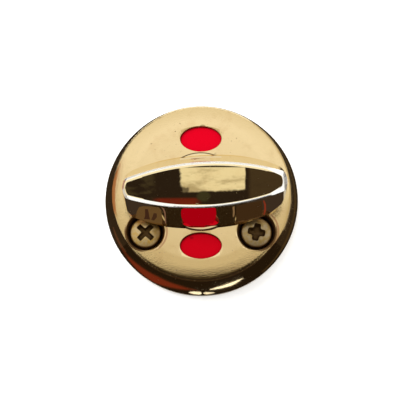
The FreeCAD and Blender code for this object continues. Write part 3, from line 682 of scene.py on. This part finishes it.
wing_lift, wing_reach, wing_corner = 1.3, 17.6, 3.4
for sign, end in ((1, 20.9), (-1, 19.9)):
    tip = sign * (grip_half_length + 0.6) + grip_offset
    corner = [(sign * wing_reach, rose_top + wing_lift), (sign * end, rose_top + wing_corner)]
    for low, high in (((sign * collar_radius, grip_foot), corner[0]), (corner[0], corner[1]),
                      (corner[1], (tip, grip_face + 1))):
        run = Vector((high[0] - low[0], 0, high[1] - low[1]))
        outward = Vector((run.z * sign, 0, -run.x * sign))
        pick(grip)
        bpy.ops.object.mode_set(mode="EDIT")
        bpy.ops.mesh.select_all(action="SELECT")
        bpy.ops.mesh.bisect(plane_co=(low[0] * MM, 0, low[1] * MM), plane_no=outward.normalized(),
                            use_fill=True, clear_outer=True)
        bpy.ops.object.mode_set(mode="OBJECT")

section = [(0, spigot_end), (spigot_radius - spigot_chamfer, spigot_end),
           (spigot_radius, spigot_end + spigot_chamfer), (spigot_radius, grip_foot),
           (collar_radius - collar_edge, grip_foot), (collar_radius, grip_foot + collar_round),
           (collar_radius, collar_top - collar_round), (collar_radius - collar_edge, collar_top),
           (0, collar_top)]
collar = turned("collar", section, 144, closed=False)
combine(grip, collar, "UNION")
deselect_everything()
bpy.ops.mesh.primitive_cube_add(size=socket_size * MM, location=(0, 0, (socket_top - socket_cut / 2) * MM))
socket_tool = bpy.context.object
socket_tool.scale = (1, 1, socket_cut / socket_size)
bpy.ops.object.transform_apply(location=True, rotation=True, scale=True)
combine(grip, socket_tool, "DIFFERENCE")
grip.rotation_euler = (0, 0, math.radians(rest_turn))
pick(grip)
bpy.ops.object.transform_apply(location=True, rotation=True, scale=True)
polish(grip, 24)
turn_brass = grip_finish("mirror_grip_brass")
grip.data.materials.append(turn_brass)
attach(grip, "turn")
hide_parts("thumb_turn")

# The steel pieces behind the rose: a blanked mounting plate with two riveted pillars and two stop
# pins, zinc plated, then the keyed stop cam and the spring pieces, oiled, and the bush and washers.


def plain_metal(name, clean, dull, roughness, metallic=1.0):
    material, tree = new_finish(name)
    place = object_place(tree)
    cloud = noise(tree, place, 350.0, 4.0, 0.6)
    grain = noise(tree, object_place(tree, (1, 12, 12)), 900.0, 3.0, 0.6)
    wear = ramp(tree, cloud, 0.42, 0.68)
    colour = blend_colours(tree, wear, clean, dull)
    close_finish(tree, colour, metallic, roughness + cloud * 0.15 + grain * 0.08, cloud * 0.3 + grain * 0.2,
                 0.35, 1e-4)
    return material


zinc = plain_metal("zinc_plate", (0.62, 0.64, 0.67), (0.42, 0.43, 0.45), 0.25)
spring = plain_metal("oiled_spring_steel", (0.20, 0.20, 0.21), (0.10, 0.09, 0.085), 0.30)
bronze = plain_metal("turned_bronze", (0.60, 0.40, 0.20), (0.42, 0.26, 0.12), 0.25)
nylon = plain_metal("natural_nylon", (0.80, 0.78, 0.70), (0.68, 0.65, 0.56), 0.45, 0.0)
for node, finish in (("mounting_plate", zinc), ("pillar_left", zinc), ("pillar_right", zinc),
                     ("stop_pin_locked", zinc), ("stop_pin_unlocked", zinc), ("stop_cam", zinc),
                     ("wave_washer", spring), ("retaining_ring", spring), ("bearing_bush", bronze),
                     ("collar_washer", nylon), ("thrust_washer", nylon)):
    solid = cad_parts[node]
    solid.data.materials.clear()
    solid.data.materials.append(finish)

# The lock lies on white card under a broad soft light. The brass mirrors a room that is bright overhead
# and dark low down, and cards close to it stand for the surfaces that it would mirror there.
floor_size, floor_gap = 1.6, 0.00002
deselect_everything()
bpy.ops.mesh.primitive_plane_add(size=floor_size, location=(0, 0, -floor_gap))
floor = bpy.context.object
floor.name = "white_card"
card, tree = new_finish("white_card")
diffuse = make_node(tree, "ShaderNodeBsdfDiffuse", inputs={"Color": (0.9, 0.9, 0.9, 1)})
lift = make_node(tree, "ShaderNodeEmission", inputs={"Color": (1, 0.985, 0.95, 1), "Strength": 0.45})
path = tree.nodes.new("ShaderNodeLightPath")
lifted = make_node(tree, "ShaderNodeAddShader", inputs={0: diffuse, 1: lift})
chosen = make_node(tree, "ShaderNodeMixShader", inputs={0: Socket(tree, path.outputs["Is Camera Ray"]),
                                                         1: diffuse, 2: lifted})
card_end = tree.nodes.new("ShaderNodeOutputMaterial")
tree.links.new(chosen.source, card_end.inputs[0])
floor.data.materials.append(card)

# the room as the brass sees it: bright overhead, dark towards -y and low down
world = bpy.data.worlds.new("studio")
bpy.context.scene.world = world
world.use_nodes = True
tree = world.node_tree
tree.nodes.clear()
path = tree.nodes.new("ShaderNodeLightPath")
camera_ray, glossy_ray = (Socket(tree, path.outputs[key]) for key in ("Is Camera Ray", "Is Glossy Ray"))
heading = make_node(tree, "ShaderNodeTexCoord", output=0)
parts = tree.nodes.new("ShaderNodeSeparateXYZ")
tree.links.new(heading.source, parts.inputs[0])
east, north, up = (Socket(tree, out) for out in parts.outputs)
side = (east * east) ** 0.5
dark = ramp(tree, -0.10 - side * 0.4 - north, 0.0, 0.06) * ramp(tree, 0.86 - side, 0.0, 0.18)
olive = ramp(tree, up, 0.60, 0.75) * ramp(tree, 0.93 - up, 0.0, 0.12)
upper_left = ramp(tree, east * -1, 0.25, 0.5) * ramp(tree, north, 0.0, 0.15)
horizon = ramp(tree, 0.07 + upper_left * 0.25 - up, 0.0, 0.04)
shade = blend_colours(tree, olive, (0.024, 0.015, 0.008), (0.075, 0.055, 0.025))
ceiling = blend_colours(tree, ramp(tree, north, 0.13, 0.27), (0.68, 0.62, 0.50), (1.04, 1.03, 1.04))
ceiling = blend_colours(tree, ramp(tree, north, 0.40, 0.56), ceiling, (0.91, 0.88, 0.82))
room_colour = blend_colours(tree, dark, ceiling, shade)
room_colour = blend_colours(tree, horizon * 0.95 * ramp(tree, 0.75 - east, 0.0, 0.15), room_colour,
                            (0.03, 0.02, 0.012))
room_colour = blend_colours(tree, camera_ray, room_colour, (1.0, 1.0, 1.0))
seen = make_node(tree, "ShaderNodeMath", {"operation": "MAXIMUM"}, {0: camera_ray, 1: glossy_ray})
background = make_node(tree, "ShaderNodeBackground", inputs={"Color": room_colour, "Strength": 1.0})
soft = make_node(tree, "ShaderNodeBackground", inputs={"Color": (1, 1, 1, 1), "Strength": 0.7})
world_end = tree.nodes.new("ShaderNodeOutputWorld")
chosen = make_node(tree, "ShaderNodeMixShader", inputs={0: seen, 1: soft, 2: background})
tree.links.new(chosen.source, world_end.inputs[0])


def reflection_card(card_piece, colour, strength=1.0):
    """Make a mesh a glowing card that only reflections show; its colour may be a function of the tree."""
    material, tree = new_finish(card_piece.name)
    shown = colour(tree) if callable(colour) else (*colour, 1)
    glow = make_node(tree, "ShaderNodeEmission", inputs={"Color": shown, "Strength": strength})
    end = tree.nodes.new("ShaderNodeOutputMaterial")
    tree.links.new(glow.source, end.inputs[0])
    card_piece.data.materials.append(material)
    for setting in ("visible_camera", "visible_diffuse", "visible_shadow", "visible_transmission"):
        setattr(card_piece, setting, False)


def card_outline(name, corners, colour, strength=1.0):
    """A flat or folded card through the given corners, in millimetres."""
    deselect_everything()
    bpy.ops.mesh.primitive_circle_add(vertices=len(corners), radius=MM, fill_type="NGON")
    piece = bpy.context.object
    piece.name = name
    for vertex, corner in zip(piece.data.vertices, corners):
        vertex.co = Vector(corner) * MM
    reflection_card(piece, colour, strength)


def floor_strip(name, stops, level, colour, strength=1.0):
    """A curved strip on the floor: each stop is an azimuth and the strip's near and far radius."""
    near_side, far_side, degrees_a_step = [], [], 4
    for (azimuth, near, far), (next_azimuth, next_near, next_far) in zip(stops, stops[1:]):
        steps = max(1, int(abs(next_azimuth - azimuth) / degrees_a_step))
        for step in range(steps + 1):
            share = step / steps
            angle = math.radians(azimuth + (next_azimuth - azimuth) * share)
            for side_points, first, last in ((near_side, near, next_near), (far_side, far, next_far)):
                reach = first + (last - first) * share
                side_points.append((reach * math.cos(angle), reach * math.sin(angle), level))
    card_outline(name, far_side + near_side[::-1], colour, strength)


dark_floor = (0.018, 0.011, 0.006)
floor_strip("shade_round", [(-32, 26.2, 45.0), (-20, 26.2, 32.0), (0, 26.2, 30.8), (110, 26.2, 31.0),
                            (135, 26.2, 90.0), (150, 26.2, 300.0), (212, 26.2, 300.0)], 0.05,
            (0.034, 0.023, 0.014))
floor_strip("shade_front", [(-150, 26.2, 38.0), (-30, 26.2, 38.0)], 0.06, dark_floor)
floor_strip("shade_far", [(-150, 38.0, 700.0), (-30, 38.0, 700.0)], 0.06, (0.045, 0.028, 0.017))
floor_strip("tan_right", [(-32, 28.0, 700.0), (60, 28.0, 700.0)], 0.03, (0.60, 0.52, 0.38))
floor_strip("brown_right", [(-50, 28.0, 28.3), (-20, 27.9, 28.7), (50, 27.8, 28.4)], 0.07,
            (0.07, 0.045, 0.02))
floor_strip("copper_left", [(196, 28.8, 29.2), (204, 28.4, 29.4), (214, 28.2, 29.6)], 0.08,
            (0.11, 0.05, 0.028))
floor_strip("red_edge", [(-150, 28.2, 28.9), (-134, 27.8, 30.1), (-120, 27.6, 31.2), (-103, 28.9, 31.0),
                         (-92, 29.8, 29.9)], 0.085, (0.090, 0.022, 0.010))
floor_strip("red_left", [(-143, 28.4, 28.7), (-134, 28.1, 29.7), (-120, 27.9, 30.7), (-106, 29.2, 30.5),
                         (-98, 29.8, 29.9)], 0.09, (0.185, 0.030, 0.014))
floor_strip("streak_low", [(-98, 28.4, 28.5), (-95, 28.0, 29.0), (-91, 27.9, 29.0), (-90, 28.3, 28.5)],
            0.10, (1.0, 1.0, 1.0), 1.5)
floor_strip("streak_mid", [(-89, 28.3, 28.5), (-87, 27.9, 28.9), (-82, 28.2, 28.4)], 0.10,
            (1.0, 1.0, 1.0), 1.3)
floor_strip("streak_high", [(-85, 29.8, 29.9), (-80, 29.7, 30.6), (-70, 29.6, 31.0), (-62, 30.6, 30.8)],
            0.10, (1.0, 1.0, 1.0), 1.8)
card_outline("copper_card", [(-32, -6, 9), (-32, 4, 9.5), (-32, 15, 20), (-32, 17, 34), (-32, 8, 31),
                             (-32, 0, 26), (-32, -6, 20)], (0.44, 0.21, 0.12))

# what the wings' near walls mirror: the two screw heads and the edges of their wells
card_outline("left_head_image", [(-17.02, -7.47, 14.26), (-16.76, -6.5, 16.54), (-15.97, -5.65, 18.76),
                                 (-14.79, -5.51, 19.58), (-12.69, -5.68, 20.1), (-10.72, -6.02, 20.18),
                                 (-10.2, -6.56, 19.21), (-10.06, -7.83, 16.45), (-10.12, -9.05, 13.71),
                                 (-12.43, -8.67, 13.57), (-15.05, -8.05, 13.82)], (0.125, 0.066, 0.022))
card_outline("left_cross_image", [(-14.4, -5.94, 18.57), (-13.61, -5.99, 18.80), (-13.35, -7.36, 15.87),
                                  (-12.95, -8.43, 13.66), (-15.05, -7.97, 13.78), (-14.48, -7.11, 15.95)],
             (0.050, 0.020, 0.010))
card_outline("left_slot_image", [(-12.16, -6.80, 17.61), (-11.38, -6.94, 17.63), (-11.38, -7.57, 16.23),
                                 (-12.3, -8.15, 14.57), (-12.82, -8.56, 13.42), (-13.35, -8.35, 13.67),
                                 (-12.56, -7.41, 16.10)], (0.055, 0.024, 0.011))
card_outline("left_lip_image", [(-10.2, -6.03, 20.49), (-9.41, -6.48, 19.84), (-9.12, -7.22, 18.32),
                                (-9.07, -9.02, 14.33), (-9.38, -9.0, 14.24), (-9.46, -7.29, 18.02),
                                (-9.75, -6.6, 19.42)], (0.20, 0.10, 0.060))
card_outline("right_head_image", [(9.38, -5.76, 20.26), (11.08, -5.24, 20.6), (13.97, -4.67, 20.49),
                                  (16.06, -4.39, 20.14), (16.32, -5.7, 17.26), (16.06, -7.14, 14.34),
                                  (12.92, -7.82, 14.34), (9.25, -8.62, 14.3)], (0.048, 0.023, 0.008))
card_outline("right_rust_image", [(16.38, -4.5, 19.84), (16.74, -4.48, 19.73), (17.27, -5.3, 17.76),
                                  (17.32, -6.25, 15.74), (16.9, -7.03, 14.28), (16.53, -7.06, 14.39),
                                  (16.8, -6.09, 16.31), (16.74, -5.33, 17.93)], (0.21, 0.030, 0.012))
card_outline("right_lip_image", [(8.36, -6.15, 19.98), (8.88, -5.83, 20.42), (8.99, -7.16, 17.58),
                                 (8.78, -7.93, 16.05), (8.46, -7.95, 16.15), (8.52, -7.0, 18.13)],
             (0.22, 0.13, 0.060))
card_outline("red_image", [(-4.87, -6.68, 20.2), (-4.22, -6.46, 20.81), (-0.47, -6.41, 21.04),
                           (3.42, -6.23, 21.0), (4.07, -6.46, 20.32), (4.15, -7.41, 18.13),
                           (4.02, -8.14, 16.61), (3.29, -9.16, 14.72), (0.83, -9.76, 13.89),
                           (-2.41, -9.76, 13.97), (-4.48, -9.06, 15.18), (-5.0, -8.09, 17.07),
                           (-5.05, -7.24, 18.88)], (0.39, 0.0, 0.006))

# what the grip's far wall mirrors: plain brass, and the upper red field along the top
card_outline("far_wall_image", [(-1.9, 8.95, 15.6), (2.5, 8.85, 15.6), (2.5, 6.78, 20.3),
                                (-1.9, 6.83, 20.3)], (0.78, 0.60, 0.34))
card_outline("far_foot_image", [(-5.5, 9.10, 13.95), (-2.75, 9.46, 13.95), (0, 9.70, 13.95),
                                (2.75, 9.82, 13.95), (5.5, 9.81, 13.95), (5.5, 8.98, 15.5),
                                (2.75, 8.99, 15.5), (0, 8.87, 15.5), (-2.75, 8.63, 15.5),
                                (-5.5, 8.27, 15.5)], (0.82, 0.66, 0.40))
card_outline("far_red_image", [(-2.6, 6.68, 19.6), (2.2, 7.00, 19.65), (4.6, 6.85, 20.05),
                               (4.6, 6.71, 20.35), (2.2, 6.68, 20.35), (-2.6, 6.36, 20.35)],
             (0.60, 0.16, 0.08))

# a bright ring close over the grip's outline, which only the bevel mirrors
ring_inset, ring_near, ring_far, ring_level = 0.62, 1.7, 3.2, grip_face + 1.0
deselect_everything()
bpy.ops.mesh.primitive_circle_add(vertices=count, radius=MM, fill_type="NOTHING")
bevel_card = bpy.context.object
bevel_card.name = "bevel_card"
bpy.ops.object.mode_set(mode="EDIT")
bpy.ops.mesh.select_all(action="SELECT")
bpy.ops.mesh.extrude_region_move(TRANSFORM_OT_translate={"value": Vector((0, 0, MM))})
bpy.ops.object.mode_set(mode="OBJECT")
set_ring(bevel_card, 0, lens_outline(0, ring_inset), ring_level)
both_sides = zip(lens_outline(ring_near, 0), lens_outline(ring_far, 0))
set_ring(bevel_card, count, [near if near.y < 0 else far for near, far in both_sides], ring_level)
bevel_card.rotation_euler = (0, 0, math.radians(rest_turn))
bpy.ops.object.transform_apply(location=True, rotation=True, scale=True)
reflection_card(bevel_card, (1.0, 1.0, 1.0), 1.1)


def face_pattern(tree):
    """What the grip's face mirrors: a pale patch in a dark room, with a dark spot and a warm strip."""
    x, y = split_place(tree)[:2]
    x = (x + 0.05) * 0.992
    y = (y - 0.67) * 0.992
    blur = noise(tree, object_place(tree), 420.0, 3.0, 0.6)
    rough_edge = (blur - 0.5) * 2.2
    sweep = noise(tree, object_place(tree, (1, 2.4, 1), (0, 0, 0.5), (0.1, 0, 0)), 160.0, 4.0, 0.65)
    window = ramp(tree, x + 5.2 + y * 0.15 + rough_edge, 0.0, 0.8)
    window = window * ramp(tree, 11.8 - x + rough_edge * 0.3, 0.0, 0.4)
    window = window * ramp(tree, y + 2.3 + rough_edge * 0.5 - x * 0.05, 0.0, 0.7)
    window = window * ramp(tree, 4.95 - y, 0.0, 0.4)
    blot = ((x - 0.9) * (x - 0.9) * 0.35 + (y + 3.1) * (y + 3.1) * 0.5) ** 0.5
    blot = ramp(tree, 1.25 + rough_edge * 0.3 - blot, 0.0, 0.5)
    notch = ramp(tree, -0.4 - y + rough_edge, 0.0, 0.5) * ramp(tree, -2.4 - x + rough_edge, 0.0, 0.8)
    warm = ramp(tree, -3.2 - y, 0.0, 0.9) * ramp(tree, x + 13.0, 0.0, 3.0) * ramp(tree, 1.0 - x, 0.0, 3.0)
    right_part = ramp(tree, x - 12.0, 0.0, 1.5) * (0.5 + sweep)
    left_part = ramp(tree, -11.0 - x, 0.0, 2.0) * ramp(tree, sweep, 0.45, 0.6)
    glow = blend_colours(tree, right_part, (0.024, 0.016, 0.012), (0.060, 0.042, 0.026))
    glow = blend_colours(tree, left_part * 0.9, glow, (0.055, 0.044, 0.028))
    glow = blend_colours(tree, warm * 0.9, glow, (0.17, 0.020, 0.010))
    cloudy = ramp(tree, sweep + y * 0.03, 0.30, 0.62)
    pale = blend_colours(tree, cloudy, (0.52, 0.46, 0.34), (0.92, 0.88, 0.74))
    glow = blend_colours(tree, window * (1 - notch * 0.75), glow, pale)
    return blend_colours(tree, blot, glow, (0.045, 0.042, 0.024))


face_corners, face_card_level = ((-21.5, -4.8), (24.5, -4.8), (-21.5, 6.6), (24.5, 6.6)), grip_face + 3.0
deselect_everything()
bpy.ops.mesh.primitive_plane_add(size=1)
face_card = bpy.context.object
face_card.name = "face_card"
for vertex, corner in zip(face_card.data.vertices, face_corners):
    vertex.co = Vector((*corner, face_card_level)) * MM
reflection_card(face_card, face_pattern)

deselect_everything()
bpy.ops.object.light_add(type="AREA", location=(-0.25, 0.35, 0.75))
key = bpy.context.object
key.name = "soft_box"
key.data.shape = "RECTANGLE"
key.data.size, key.data.size_y = 0.6, 0.45
key.data.energy = 6.0
key.rotation_euler = (Vector((0, 0, 0)) - key.location).to_track_quat("-Z", "Y").to_euler()
key.visible_camera = False
key.visible_glossy = False

camera_place = Vector((0.007, -0.084, 0.396))
camera_aim = Vector((-0.00045, 0.00055, 0.0))
bpy.ops.object.camera_add(location=camera_place)
camera = bpy.context.object
back = (camera_place - camera_aim).normalized()
right = Vector((0, 1, 0)).cross(back).normalized()
camera.rotation_euler = Matrix((right, back.cross(right), back)).transposed().to_euler()
camera.data.sensor_width = 36.0
camera.data.lens = 134.1
camera.data.clip_start = 0.01
bpy.context.scene.camera = camera
bpy.context.scene.view_settings.view_transform = "Standard"
